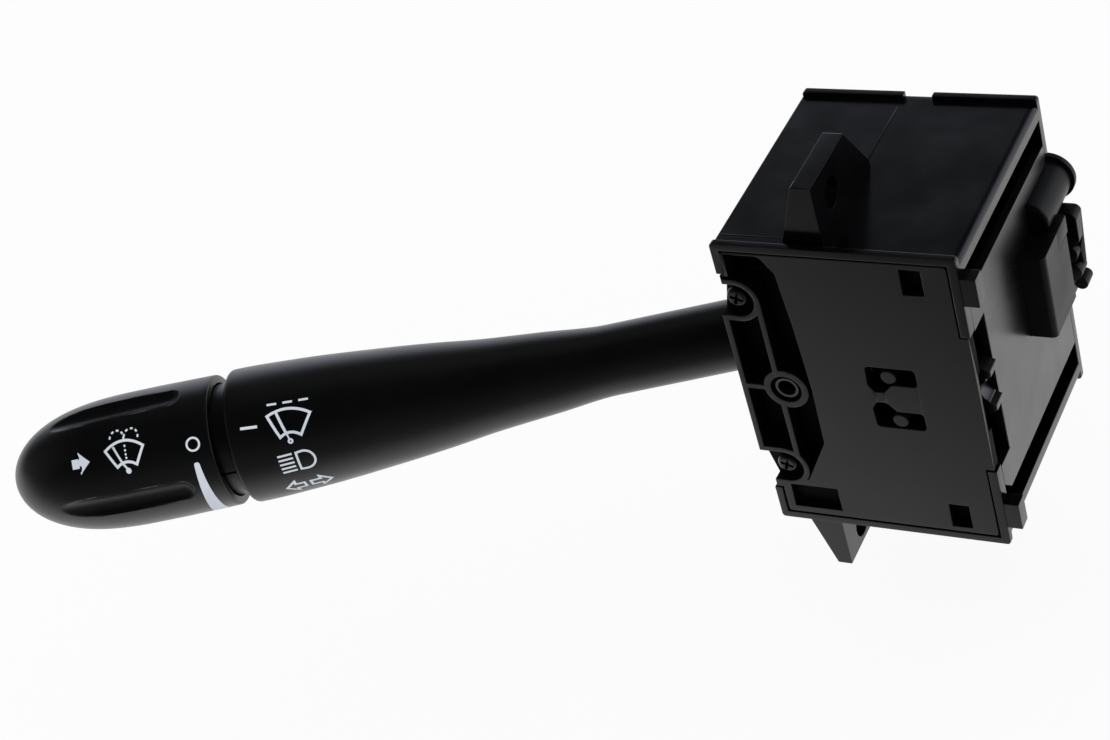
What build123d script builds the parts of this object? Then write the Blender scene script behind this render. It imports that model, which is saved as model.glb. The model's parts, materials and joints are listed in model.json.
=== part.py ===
from build123d import *
import os
from math import cos, radians, sin

# Combination stalk switch, in millimetres.
# Pieces are laid out from the housing's datum: X = 0 on its left wall, Y = 0 on its front rim and
# Z = 0 at mid height. The lever leaves to -X and leans to the driver at -Y. At the end every piece
# moves so that the centre of the upper mounting ear's hole is the origin.

# Housing
box_width = 52.0
box_depth = 54.9
rim_height = 75.6
wall = 2.0
rim_step = 1.2
rim_depth = 1.6
rim_width = 1.8
edge_round = 1.6
bead_drop = 3.8
mouth_low = -29.0
mouth_high = 30.0
wall_slot_half = 16.0
wall_slot_front = 7.5
wall_slot_back = 38.4
nose_gap_low = -17.2
nose_gap_high = 18.4

# Mounting ears
ear_hole_radius = 3.2
upper_ear_right = 23.65
upper_ear_thick = 4.35
upper_ear_root = 14.7
upper_ear_top = 50.6
upper_hole_y = 11.3
upper_hole_z = 43.6
lower_ear_right = 12.3
lower_ear_thick = 3.3
lower_ear_root = 3.6
lower_ear_tip = -53.4
lower_hole_y = 11.6
lower_hole_z = -48.8
gusset_thick = 2.4

# Rim tabs on the right side
tab_reach = 3.2
tab_depth = 3.5
tab_inner = 26.2
tab_outer = 33.0

# Cover
cover_thick = 2.7
cover_gap = 0.3
cover_left = -1.3
rib_zone_depth = 6.5
pocket_floor = 1.5
rib_thick = 1.3
cup_radius = 4.1
cup_floor = 2.6
screw_spots = ((2.6, 23.2), (4.0, -22.6))
window_width = 4.4
window_height = 6.3
window_x = box_width - 10.0
window_z = 31.25

# Turn signal pivot
pivot_x = 8.9
pivot_radius = 2.55
pivot_bore = 2.0
running_gap = 0.05
clear_gap = 0.3

# Lever
lever_angle = 25.66
hinge_y = 24.55
lever_start = 13.0
lever_end = 132.0
lever_bore = 4.9
lever_tip_bore = 12.4

# Knob
knob_start = 135.6
knob_tip = 187.0
sleeve_radius = 12.6
sleeve_wall = 1.6
flute_radius = 3.6
flute_start = 145.0
flute_end = 176.0
flute_start_floor = 13.7
flute_end_floor = 12.85

# Screws
screw_head_radius = 2.35
screw_head_height = 1.9
screw_radius = 1.3
screw_length = 12.0
post_radius = 2.9

# Contact carrier
plate_thick = 2.0
plate_half = 26.6
plate_front = 2.8
nose_notch_y = 8.5
nose_notch_half = 18.0
board_x = 41.0
board_thick = 1.6
board_half = 20.0
rail_thick = 2.0

# Connector and tube
shroud_left = board_x + board_thick
shroud_front = 29.5
shroud_step = 38.2
shroud_neck = 43.5
shroud_back = 54.0
shroud_reach = 5.7
shroud_low = -5.5
shroud_high = 15.4
mouth_top = 11.2
mouth_right = 54.6
socket_wall = 1.6
socket_floor = 40.0
blade_width = 1.8
blade_thick = 0.64
blade_pitch = 2.6
blade_rows = 5
blade_columns = (47.2, 50.4)
blade_tip = 49.0
blade_root = 36.5
tube_radius = 4.9
tube_x = 51.3
tube_z = 17.0
tube_bore = 3.4
collar_radius = 5.7
collar_thick = 1.3

# Cradle
ring_left = 3.5
ring_right = 16.0
ring_front = 13.0
ring_back = 38.0
ring_half = 12.0
ring_wall_y = 3.0
ring_wall_z = 2.0
rear_left = 4.5
rear_half = 8.0
rear_back = 47.6
web_right = 26.0
web_thick = 2.5
web_half = 9.0
detent_y = 43.5
detent_guide_half = 3.0
plunger_radius = 2.0
nose_radius_line = 21.0
finger_radius = 1.5
finger_arm = 26.0

# Beam pin, tail and slider
pin_radius = 1.8
eye_radius = 5.2
neck_radius = 3.5
shoulder_radius = 6.5
tail_reach = 14.0
tail_radius = 1.6
head_thick = 2.0
head_half = 8.5
stem_z = 6.2
stem_radius = 1.4
beam_travel = 1.5

# Cancel mechanism
pawl_x = box_width - 19.2
pawl_z = -0.25
pawl_front = 4.2
pawl_back = 8.2
pawl_half = 3.2
nose_z = 1.4
guide_pin_radius = 1.7
guide_pins = ((pawl_x - 0.3, 5.8), (pawl_x + 0.35, -5.85))
guide_pin_seat = 1.5
guide_slot_z = 0.35
carriage_left = pawl_x - 6.8
carriage_right = pawl_x + 9.2
carriage_half = 9.0
carriage_thick = 2.4
spring_stop = carriage_left - 5.9
rail_start = carriage_left - 3.0
rail_end = pawl_x + 11.0
rail_lip = 1.6

# Turn contact slider
slider_left = 33.0
slider_right = 39.6
slider_front = 28.0
slider_back = 41.0
slider_half = 8.0
slot_half = finger_radius + clear_gap

rim_half = rim_height / 2
top_z = rim_half - rim_step
inner_z = top_z - wall
inner_back = box_depth - wall
shroud_right = box_width + shroud_reach
plate_left = box_width - plate_thick
rear_boss_front = rear_back + 0.8
carriage_front = pawl_back + 0.4
hinge = Vector(pivot_x, hinge_y, 0)
lever_way = Vector(-cos(radians(lever_angle)), -sin(radians(lever_angle)), 0)
lever_frame = Plane(origin=hinge, x_dir=(0, 0, 1), z_dir=lever_way)
to_ear_hole = Pos(-(upper_ear_right - upper_ear_thick / 2), -upper_hole_y, -upper_hole_z)


def block(x0, x1, y0, y1, z0, z1):
    """A box given by its six faces."""
    middle = Pos((x0 + x1) / 2, (y0 + y1) / 2, (z0 + z1) / 2)
    return middle * Box(x1 - x0, y1 - y0, z1 - z0)


def bar(radius, start, end):
    """A round bar between two points."""
    start = Vector(*start)
    way = Vector(*end) - start
    base = (Align.CENTER, Align.CENTER, Align.MIN)
    return Plane(origin=start, z_dir=way) * Cylinder(radius, way.length, align=base)


def along_y(outline, y0, y1):
    """An outline drawn in X and Z, made solid from y0 to y1."""
    face = Plane(origin=(0, y1, 0), x_dir=(1, 0, 0), z_dir=(0, -1, 0)) * outline
    return extrude(face, y1 - y0)


def along_x(outline, x0, x1):
    """An outline drawn in Y and Z, made solid from x0 to x1."""
    face = Plane(origin=(x0, 0, 0), x_dir=(0, 1, 0), z_dir=(1, 0, 0)) * outline
    return extrude(face, x1 - x0)


def rect(a0, a1, b0, b1):
    """A rectangle given by its four sides."""
    return Pos((a0 + a1) / 2, (b0 + b1) / 2) * Rectangle(a1 - a0, b1 - b0)


def disc(s0, s1, outer, inner=0.0):
    """A disc or ring on the lever's axis, s being the distance from the beam hinge."""
    base = (Align.CENTER, Align.CENTER, Align.MIN)
    ring = Pos(0, 0, s0) * Cylinder(outer, s1 - s0, align=base)
    if inner:
        ring -= Pos(0, 0, s0) * Cylinder(inner, s1 - s0, align=base)
    return ring


def turned(edges):
    """A body of revolution about the lever's axis from edges drawn as radius and distance."""
    face = make_face(Plane.XZ * edges)
    return revolve(face, Axis.Z)


def coil(radius, wire, length, turns):
    """A compression spring that stands on Z = 0."""
    path = Helix(pitch=(length - wire) / turns, height=length - wire, radius=radius)
    section = Plane(origin=path @ 0, z_dir=path % 0) * Circle(wire / 2)
    return Pos(0, 0, wire / 2) * sweep(section, path=path, is_frenet=True)


def save(node, solid):
    """Moves a piece to the part's frame and writes it."""
    solid = to_ear_hole * solid
    solid.label = node
    export_step(solid, f"parts/{node}.step")


def ear(outline, right, thick, gusset_root, hole_y, hole_z):
    """A mounting ear: a flat plate with a hole, and a gusset that widens its front edge to the root."""
    profile = make_face(Polyline(*outline, close=True))
    plate = along_x(profile, right - thick, right)
    front, root = outline[0]
    tip = outline[1][1]
    gusset = make_face(Polyline((right, root), (gusset_root, root), (right - thick, tip), (right, tip), close=True))
    plate += along_y(gusset, front, front + gusset_thick) & along_x(profile, gusset_root, right)
    return plate - bar(ear_hole_radius, (gusset_root - 1, hole_y, hole_z), (right + 1, hole_y, hole_z))


def make_housing():
    shell = block(0, box_width, 0, box_depth, -top_z, top_z)
    long_edges = shell.edges().filter_by(Axis.Y)
    shell = fillet(long_edges.group_by(Axis.X)[-1], edge_round)
    front_rim = block(0, box_width, 0, rim_depth, -rim_half, rim_half)
    back_lip = block(0, box_width, box_depth - rim_depth, box_depth, -rim_half, rim_half)
    shell += fillet(front_rim.edges().filter_by(Axis.Y), 0.8)
    shell += fillet(back_lip.edges().filter_by(Axis.Y), 0.8)
    lip_notch = (23.1, 29.4)
    for side in (1, -1):
        z_low, z_high = sorted((side * top_z, side * (rim_half + 1)))
        shell -= block(*lip_notch, box_depth - rim_depth - 1, box_depth + 1, z_low, z_high)
    bead_z = top_z - bead_drop
    shell -= block(wall, box_width + 1, cover_thick, inner_back, -bead_z, bead_z)
    shell -= block(wall, box_width - wall, cover_thick, inner_back, -inner_z, inner_z)
    # The front opening holds the cover, and its seat is open where the lever and the pawl come out.
    seat = (wall - 0.2, box_width - wall, rim_half - rim_width)
    shell -= block(seat[0], seat[1], -1, cover_thick, -seat[2], seat[2])
    shell -= block(-1, seat[0] + 1, -1, rib_zone_depth + 0.5, mouth_low, mouth_high)
    shell -= block(seat[1] - 1, box_width + 1, -1, cover_thick, nose_gap_low, nose_gap_high)
    slot = rect(wall_slot_front, wall_slot_back, -wall_slot_half, wall_slot_half)
    shell -= along_x(fillet(slot.vertices(), 3), -1, wall + 0.01)
    # The back wall is open behind the connector and the tube.
    rear_gap = rect(shroud_left - 0.2, box_width + 1, shroud_low - 2.5, tube_z + collar_radius + 0.5)
    shell -= along_y(rear_gap, inner_back - 1, box_depth + 1)
    # Corner tabs of the rim
    for side in (1, -1):
        z_low, z_high = sorted((side * tab_inner, side * tab_outer))
        shell += block(box_width, box_width + tab_reach, 0.2, 0.2 + tab_depth, z_low, z_high)
    # Posts for the cover screws and the boss for the cradle's rear stub
    for x, z in screw_spots:
        post = bar(post_radius, (x, rib_zone_depth, z), (x, inner_back, z))
        shell += post & block(0, box_width, 0, box_depth, -inner_z, inner_z)
        tip = rib_zone_depth + screw_length
        shell -= bar(screw_radius, (x, 0, z), (x, tip, z))
    shell += bar(4.4, (pivot_x, rear_boss_front, 0), (pivot_x, inner_back, 0))
    shell -= bar(pivot_radius + running_gap, (pivot_x, 0, 0), (pivot_x, inner_back, 0))
    # Ears: outlines in Y and Z, from the front of the root round to its back
    root = top_z - 0.3
    upper = ((3.0, root), (3.0, upper_ear_top), (21.6, upper_ear_top), (30.6, top_z + 0.9), (30.6, root))
    lower = ((2.9, -root), (2.9, lower_ear_tip), (20.4, lower_ear_tip), (31.0, -top_z - 0.5), (31.0, -root))
    shell += ear(upper, upper_ear_right, upper_ear_thick, upper_ear_root, upper_hole_y, upper_hole_z)
    shell += ear(lower, lower_ear_right, lower_ear_thick, lower_ear_root, lower_hole_y, lower_hole_z)
    return shell


def cover_outline(shrink=0.0):
    """The cover's outline: it reaches into the two gaps of the housing's rim."""
    high = rim_half - rim_width - cover_gap - shrink
    left = wall - 0.2 + cover_gap
    right = box_width - wall - cover_gap
    reach = box_width - 0.5
    outline = rect(left, right, -high, high)
    outline = fillet(outline.vertices(), 0.8)
    outline += rect(cover_left, pivot_x, mouth_low + cover_gap, mouth_high - cover_gap)
    outline += rect(right - 1, reach, nose_gap_low + cover_gap, nose_gap_high - cover_gap)
    return outline


def cup_outline(spot, radius):
    """A screw cup: round on the right, open to the left."""
    x, z = spot
    return Pos(x, z) * Circle(radius) + rect(cover_left - 1, x, z - radius, z + radius)


def pocket_outline():
    """The cored area of the cover, between its left edge, its ribs and the plain field."""
    upper_screw, lower_screw = screw_spots
    area = make_face(Polyline((0.0, 35.0), (10.2, 35.2), (13.0, 31.0), (14.1, 16.7), (14.8, 0.0),
                              (14.5, -14.5), (8.7, -25.8), (0.0, -25.8), close=True))
    area = fillet(area.vertices().sort_by(Axis.Y)[-1], 2.0)
    spine_x = 7.4
    ribs = Pos(pivot_x, 0) * Circle(5.0)
    ribs += rect(spine_x - rib_thick / 2, spine_x + rib_thick / 2, lower_screw[1], upper_screw[1])
    ribs += rect(cover_left, pivot_x, -rib_thick / 2, rib_thick / 2)
    for spot in screw_spots:
        ribs += cup_outline(spot, cup_radius + rib_thick)
    ribs += rect(cover_left, 1.8, mouth_high - 0.6, 36)
    return area - ribs


def slot_outline(side):
    """A guide slot of the cancel slide: a run along X with a lobe on its left towards the middle."""
    outline = make_face(Polyline((pawl_x - 4.9, 8.1), (pawl_x + 5.8, 8.1), (pawl_x + 5.8, 3.55),
                                 (pawl_x + 0.2, 3.55), (pawl_x - 1.8, 1.4), (pawl_x - 4.0, 1.4),
                                 (pawl_x - 5.1, 3.2), close=True))
    outline = fillet(outline.vertices(), 0.9)
    if side < 0:
        outline = mirror(outline, Plane.XZ)
    return Pos(0, guide_slot_z) * outline


def make_cover():
    cover = along_y(cover_outline(), 0.1, cover_thick)
    zone = rect(cover_left, 16.0, mouth_low + cover_gap, mouth_high - cover_gap)
    cover += along_y(zone, 0.1, rib_zone_depth)
    cover -= along_y(pocket_outline(), 0, rib_zone_depth - pocket_floor)
    for spot in screw_spots:
        cover -= along_y(cup_outline(spot, cup_radius), 0, cup_floor)
        cover -= bar(screw_radius + 0.2, (spot[0], 0, spot[1]), (spot[0], rib_zone_depth + 1, spot[1]))
    cover -= along_y(rect(4.0, 14.8, -34.0, -27.7), 0, cover_thick - 0.7)
    for side in (1, -1):
        z = side * window_z
        window = rect(window_x - window_width / 2, window_x + window_width / 2,
                      z - window_height / 2, z + window_height / 2)
        cover -= along_y(window, 0, cover_thick + 1)
        cover -= along_y(slot_outline(side), 0, cover_thick + 1)
    # Ring boss: a counterbore shows round the pivot tube, which runs in the bore below
    cover -= bar(3.45, (pivot_x, 0, 0), (pivot_x, 1.3, 0))
    cover -= bar(pivot_radius + running_gap, (pivot_x, 0, 0), (pivot_x, rib_zone_depth + 1, 0))
    # Rear edge of the right side is relieved for the pawl's nose
    cover -= block(box_width - 3, box_width, 1.3, cover_thick + 1, -7.2, 7.6)
    # Guide rails with inward lips hold the cancel carriage behind the plain field
    lip_y = carriage_front + carriage_thick + clear_gap
    inner = carriage_half + clear_gap
    for side in (1, -1):
        z_wall = sorted((side * inner, side * (inner + rail_lip)))
        z_lip = sorted((side * (inner - rail_lip), side * (inner + rail_lip)))
        cover += block(rail_start, rail_end, cover_thick - 0.1, lip_y + 1.2, *z_wall)
        cover += block(rail_start, rail_end, lip_y, lip_y + 1.2, *z_lip)
    cover += block(spring_stop - 1.5, spring_stop, cover_thick - 0.1, lip_y + 1.2, -4.5, 4.5)
    return cover


def make_screws():
    screws = []
    for x, z in screw_spots:
        seat = cup_floor
        head = bar(screw_head_radius, (x, seat - screw_head_height, z), (x, seat, z))
        head = fillet(head.edges().group_by(Axis.Y)[0], 1.0)
        shank = bar(screw_radius, (x, seat, z), (x, rib_zone_depth + screw_length - 0.5, z))
        cross = Box(3.0, 2.0, 0.7) + Box(0.7, 2.0, 3.0)
        recess = Pos(x, seat - screw_head_height, z) * Rotation(0, 20, 0) * cross
        screws.append(head + shank - recess)
    return Compound(children=screws)


def make_carrier():
    plate = block(plate_left, box_width, plate_front, inner_back, -plate_half, plate_half)
    plate -= block(plate_left - 1, box_width + 1, 0, nose_notch_y, -nose_notch_half, nose_notch_half)
    corner = plate.edges().filter_by(Axis.X).group_by(Axis.Y)[0].group_by(Axis.Z)[0]
    plate = chamfer(corner, 3.4)
    board = block(board_x, shroud_left, 22.0, 46.0, -board_half, board_half)
    for side in (1, -1):
        z0, z1 = sorted((side * (board_half - rail_thick), side * board_half))
        board += block(board_x, plate_left, 24.0, 46.0, z0, z1)
    # Channel for the turn contact slider
    board += block(slider_left + 1, board_x, slider_front - clear_gap - 1.7, slider_front - clear_gap, -16, 16)
    board += block(slider_left + 4.2, board_x, slider_back + clear_gap, slider_back + clear_gap + 1.7, -16, 16)
    saddle = block(plate_left - 5, plate_left, shroud_step + 0.3, inner_back - 0.4, mouth_top + 0.2,
                   tube_z + tube_radius + 1.5)
    carrier = plate + board + saddle
    carrier -= block(shroud_left, box_width + 1, shroud_front, shroud_neck, shroud_low, shroud_high)
    carrier -= block(shroud_left, box_width + 1, shroud_neck - 1, box_depth, shroud_low, mouth_top)
    carrier -= bar(tube_radius, (tube_x, shroud_step + 0.3, tube_z), (tube_x, box_depth, tube_z))
    carrier -= block(plate_left - 1, box_width + 1, shroud_step, inner_back + 1, mouth_top - 0.5, tube_z)
    return carrier


def blade_spots():
    """Centres of the terminal blades in X and Z."""
    first = (shroud_low + mouth_top) / 2 - blade_pitch * (blade_rows - 1) / 2
    return [(x, first + row * blade_pitch) for x in blade_columns for row in range(blade_rows)]


def make_blades():
    blades = []
    for x, z in blade_spots():
        w = blade_width / 2
        t = blade_thick / 2
        blade = block(x - w, x + w, blade_root, blade_tip, z - t, z + t)
        blades.append(chamfer(blade.edges().filter_by(Axis.X).group_by(Axis.Y)[-1], 0.25))
    return Compound(children=blades)


def make_shroud():
    head = block(shroud_left, shroud_right, shroud_front, shroud_neck, shroud_low, shroud_high)
    right_edges = head.edges().filter_by(Axis.Z).group_by(Axis.X)[-1]
    head = fillet(right_edges.group_by(Axis.Y)[0], 1.2)
    head -= block(shroud_left - 1, shroud_right + 1, shroud_step, shroud_neck + 1, mouth_top, shroud_high + 1)
    shroud = head + block(shroud_left, mouth_right, shroud_neck, shroud_back, shroud_low, mouth_top)
    w = socket_wall
    socket = rect(shroud_left + w, mouth_right - w, shroud_low + w, mouth_top - w)
    shroud -= along_y(fillet(socket.vertices(), 0.6), socket_floor, shroud_back + 1)
    # Rounded coding ribs stand in a row on the right side of the mouth
    ribs = rect(mouth_right - 1, shroud_right, 0.4, mouth_top)
    ribs = fillet(ribs.vertices().group_by(Axis.X)[-1], 1.6)
    for z, radius in ((-2.6, 2.2), (-7.4, 2.2), (-11.2, 1.5)):
        ribs += Pos(shroud_right - radius, z) * Circle(radius)
    ribs += rect(mouth_right, shroud_right - 2.2, -11.2, mouth_top)
    shroud += along_y(ribs, shroud_back - 4.0, shroud_back)
    shroud += along_y(rect(mouth_right, shroud_right, -6.7, 5.7), shroud_back - 1.6, shroud_back)
    return shroud - make_blades()


def make_tube():
    tube = bar(tube_radius, (tube_x, shroud_step + 0.3, tube_z), (tube_x, shroud_back + 0.6, tube_z))
    tube = fillet(tube.edges().group_by(Axis.Y)[0], 0.8)
    end = shroud_back + 0.6 + collar_thick
    tube += bar(collar_radius, (tube_x, shroud_back + 0.6, tube_z), (tube_x, end, tube_z))
    return tube - bar(tube_bore, (tube_x, shroud_step + 3.5, tube_z), (tube_x, end + 1, tube_z))


def make_track():
    front = detent_y - plunger_radius - 0.1
    track = block(30.4, 36.0, front, inner_back, -10, 10)
    turning_room = nose_radius_line + 0.35
    track -= bar(turning_room, (pivot_x, front - 1, 0), (pivot_x, detent_y + 3, 0))
    for angle in (-11, 0, 11):
        x = pivot_x + (nose_radius_line - 0.8) * cos(radians(angle))
        z = (nose_radius_line - 0.8) * sin(radians(angle))
        track -= bar(2.1, (x, front - 1, z), (x, detent_y + 3, z))
    foot = block(24.5, 31.0, rear_boss_front + 0.2, inner_back, -10, 10)
    return track + foot


def make_turn_contacts():
    strips = []
    for y in (31.0, 34.5, 38.0):
        strips.append(block(board_x - 0.4, board_x, y - 1.1, y + 1.1, -15, 15))
    return Compound(children=strips)


def make_cradle():
    ring = block(ring_left, ring_right, ring_front, ring_back, -ring_half, ring_half)
    ring = fillet(ring.edges().filter_by(Axis.Y), 1.5)
    ring -= block(ring_left - 1, ring_right + 1, ring_front + ring_wall_y, ring_back - 2,
                  -(ring_half - ring_wall_z), ring_half - ring_wall_z)
    rear = block(rear_left, ring_right, ring_back, rear_back, -rear_half, rear_half)
    web = block(ring_right - 3, web_right, ring_back, ring_back + web_thick, -web_half, web_half)
    cradle = ring + rear + web
    guide = detent_guide_half
    cradle += block(ring_right, web_right, ring_back, detent_y + guide, -guide, guide)
    cradle -= bar(plunger_radius + running_gap, (ring_right - 4, detent_y, 0), (web_right + 1, detent_y, 0))
    # The finger that drives the turn contacts
    tip_x = pivot_x + finger_arm
    finger = block(web_right - 1, tip_x, ring_back, ring_back + web_thick, -0.9, 0.9)
    finger += bar(finger_radius, (tip_x, ring_back, 0), (tip_x, ring_back + web_thick, 0))
    cradle += finger
    cradle -= bar(pivot_radius, (pivot_x, 0, 0), (pivot_x, ring_front + ring_wall_y, 0))
    cradle += bar(pivot_radius, (pivot_x, rear_back, 0), (pivot_x, inner_back - clear_gap, 0))
    cradle -= bar(pin_radius, (pivot_x, hinge_y, -ring_half - 1), (pivot_x, hinge_y, ring_half + 1))
    for side in (1, -1):
        z = side * stem_z
        stem_x = hinge.X + tail_reach * cos(radians(lever_angle))
        cradle -= bar(stem_radius + running_gap, (stem_x, ring_back - 1, z), (stem_x, ring_back + web_thick + 1, z))
    return cradle


def make_pivot_tube():
    ends = ((pivot_x, 0.6, 0), (pivot_x, ring_front + ring_wall_y, 0))
    return bar(pivot_radius, *ends) - bar(pivot_bore, *ends)


def make_beam_pin():
    pin = bar(pin_radius, (pivot_x, hinge_y, -ring_half), (pivot_x, hinge_y, ring_half))
    return chamfer(pin.edges().filter_by(GeomType.CIRCLE), 0.3)


def make_plunger():
    nose_x = pivot_x + nose_radius_line
    plunger = bar(plunger_radius, (ring_right, detent_y, 0), (nose_x, detent_y, 0))
    return fillet(plunger.edges().group_by(Axis.X)[-1], plunger_radius - 0.1)


def make_detent_spring():
    start = ring_right - 4
    return Plane(origin=(start, detent_y, 0), z_dir=(1, 0, 0)) * coil(1.4, 0.5, ring_right - start, 3)


def tail_tip():
    """Centre of the lever tail's rounded end."""
    return hinge - lever_way * tail_reach


def make_beam_contacts():
    leaves = []
    for side in (1, -1):
        z = side * stem_z
        leaves.append(block(11.0, 24.0, rear_back, rear_back + 0.4, z - 1.2, z + 1.2))
    return Compound(children=leaves)


def beam_head_y():
    return tail_tip().Y + tail_radius + clear_gap


def stem_end():
    return rear_back - beam_travel - 0.9


def make_beam_slider():
    x = tail_tip().X
    head = block(x - 3.5, x + 3.5, beam_head_y(), beam_head_y() + head_thick, -head_half, head_half)
    slider = fillet(head.edges().filter_by(Axis.Y), 1.0)
    for side in (1, -1):
        z = side * stem_z
        slider += bar(stem_radius, (x, beam_head_y() + head_thick, z), (x, stem_end(), z))
    return slider


def make_beam_tips():
    x = tail_tip().X
    tips = []
    for side in (1, -1):
        z = side * stem_z
        tips.append(bar(1.9, (x, stem_end(), z), (x, stem_end() + 0.7, z)))
    return Compound(children=tips)


def make_beam_springs():
    x = tail_tip().X
    start = beam_head_y() + head_thick
    springs = []
    for side in (1, -1):
        place = Plane(origin=(x, start, side * stem_z), z_dir=(0, 1, 0))
        springs.append(place * coil(2.0, 0.5, ring_back - start, 2))
    return Compound(children=springs)


def make_turn_slider():
    slider = block(slider_left, slider_right, slider_front, slider_back, -slider_half, slider_half)
    slider = chamfer(slider.edges().filter_by(Axis.Y), 0.8)
    slot_right = pivot_x + finger_arm + finger_radius + 0.9
    return slider - block(slider_left - 1, slot_right, ring_back - 0.4, slider_back + 1, -slot_half, slot_half)


def make_turn_bridge():
    depth = board_x - 0.4 - clear_gap - slider_right
    return block(slider_right, slider_right + depth, 30.2, 38.8, -2.0, 2.0)


def lever_outline():
    """The lever's outer line as points of radius and distance."""
    return [(7.8, 47.0), (9.1, 61.4), (10.4, 75.4), (11.7, 85.5), (12.95, 97.2), (14.5, 116.0),
            (15.1, 130.8)]


def make_lever_arm():
    skin = lever_outline()
    rim = 1.0
    flare = Spline(*skin, tangents=[(0, 1), (0.02, 1)])
    shoulder = lever_end - rim
    edges = Polyline((lever_bore, 13.0), (lever_bore, 98.0), (11.4, 104.0), (11.4, 114.0),
                     (lever_tip_bore, 114.0), (lever_tip_bore, lever_end), (15.1 - rim, lever_end))
    edges += Line((15.1 - rim, lever_end), (15.1, shoulder))
    edges += Line((15.1, shoulder), skin[-1])
    edges += flare
    edges += Polyline(skin[0], (7.8, lever_start + 0.6), (7.2, lever_start), (lever_bore, lever_start))
    return lever_frame * turned(edges)


def make_lever_root():
    eye = bar(eye_radius, (pivot_x, hinge_y, -9.6), (pivot_x, hinge_y, 9.6))
    neck = lever_frame * disc(0, lever_start + 1, neck_radius)
    shoulder = lever_frame * disc(lever_start - 1.5, lever_start, shoulder_radius)
    spigot = lever_frame * disc(lever_start, 40.0, lever_bore)
    spigot -= lever_frame * disc(lever_start + 2, 41.0, lever_bore - 1.8)
    tail = lever_frame * (Pos(0, 0, -tail_reach / 2) * Box(5.0, 3.0, tail_reach))
    tip = tail_tip()
    tail += bar(tail_radius, (tip.X, tip.Y, -2.5), (tip.X, tip.Y, 2.5))
    root = eye + neck + shoulder + spigot + tail
    hole = pin_radius + running_gap
    return root - bar(hole, (pivot_x, hinge_y, -10), (pivot_x, hinge_y, 10))


def make_contact_plate():
    return lever_frame * disc(114.0, 116.0, lever_tip_bore, 2.2)


def make_wiper_contacts():
    arcs = []
    for radius, span in ((8.85, 150), (6.45, 110), (4.15, 360)):
        face = Plane.XZ * rect(radius - 0.75, radius + 0.75, 116.0, 116.4)
        arcs.append(lever_frame * revolve(face, Axis.Z, span))
    return Compound(children=arcs)


def make_washer_contact():
    foot = Pos(8.2, 0, 113.7) * Box(3.0, 3.0, 0.6)
    leg = Pos(6.9, 0, 111.4) * Box(0.4, 3.0, 5.2)
    leaf = Pos(2.6, 0, 109.0) * Box(9.0, 3.0, 0.4)
    return lever_frame * (foot + leg + leaf)


def make_end_plate():
    return lever_frame * disc(127.0, 131.0, lever_tip_bore, 4.0 + running_gap)


def make_wiper_shaft():
    shaft = disc(120.0, 133.6, 4.0, 1.7)
    return lever_frame * shaft


def make_rotor_disc():
    return lever_frame * disc(117.4, 120.0, 10.8, 1.7)


def make_brushes():
    pads = []
    for radius in (8.85, 6.45, 4.15):
        pads.append(lever_frame * (Pos(0, radius, 116.95) * Box(2.2, 1.2, 0.9)))
    return Compound(children=pads)


def make_sleeve():
    sleeve = disc(132.6, 146.0, sleeve_radius) - disc(134.6, 147.0, sleeve_radius - sleeve_wall)
    sleeve -= disc(132.0, 133.6, 4.0) + disc(132.0, 136.0, 1.7)
    for turn in (30, 150, 270):
        sleeve -= Rotation(0, 0, turn) * (Pos(sleeve_radius - 1, 0, 141.5) * Box(4.0, 2.6, 12.0))
    # A small notch in the neck faces the driver
    sleeve -= Rotation(0, 0, -88) * (Pos(sleeve_radius, 0, 134.0) * Box(0.9, 0.6, 3.0))
    return lever_frame * sleeve


def knob_line(inset):
    """The knob's side and dome as points of radius and distance, moved inwards."""
    points = [(14.8, 136.2), (15.0, 149.0), (14.8, 161.0), (13.8, 170.0), (11.35, 177.7), (7.8, 182.5),
              (3.75, 185.9)]
    return [(r - inset, s - inset * 0.9 * (s - 150) / 37 if s > 150 else s) for r, s in points]


def make_knob():
    outer = knob_line(0)
    dome = Spline(*outer, (0, knob_tip), tangents=[(0, 1), (-1, 0)])
    rim_in = sleeve_radius + clear_gap
    edges = Line((0, knob_start), (14.3, knob_start)) + Line((14.3, knob_start), outer[0])
    edges += dome
    edges += Line((0, knob_tip), (0, knob_start))
    knob = turned(edges)
    inner = [(11.0, 149.0), (10.8, 160.0), (9.8, 168.0), (7.4, 175.0), (4.6, 179.4), (0, 182.0)]
    hollow = Polyline((0, 135.0), (rim_in, 135.0), (rim_in, 149.0), inner[0])
    hollow += Spline(*inner, tangents=[(0, 1), (-1, 0)])
    hollow += Line((0, 182.0), (0, 135.0))
    knob -= turned(hollow)
    knob += disc(160.0, 184.0, 3.4)
    knob -= disc(150.0, 170.0, 1.6)
    for turn in (30, 150, 270):
        lug = Pos(sleeve_radius - 0.3, 0, 142.5) * Box(2.4, 2.0, 7.0)
        knob += Rotation(0, 0, turn) * lug
    # Four finger flutes, a quarter turn apart, that run out in the dome
    start = (flute_start_floor + flute_radius, 0, flute_start)
    end = (flute_end_floor + flute_radius, 0, flute_end)
    scoop = bar(flute_radius, start, end) + Pos(*start) * Sphere(flute_radius) + Pos(*end) * Sphere(flute_radius)
    for turn in (0, 90, 180, 270):
        knob -= Rotation(0, 0, turn) * scoop
    return lever_frame * knob


def make_push_rod():
    rod = disc(112.0, 170.0, 1.6)
    return lever_frame * rod


def make_washer_spring():
    return lever_frame * (Pos(0, 0, 134.6) * coil(2.9, 0.8, 160.0 - 134.6, 6))


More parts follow.
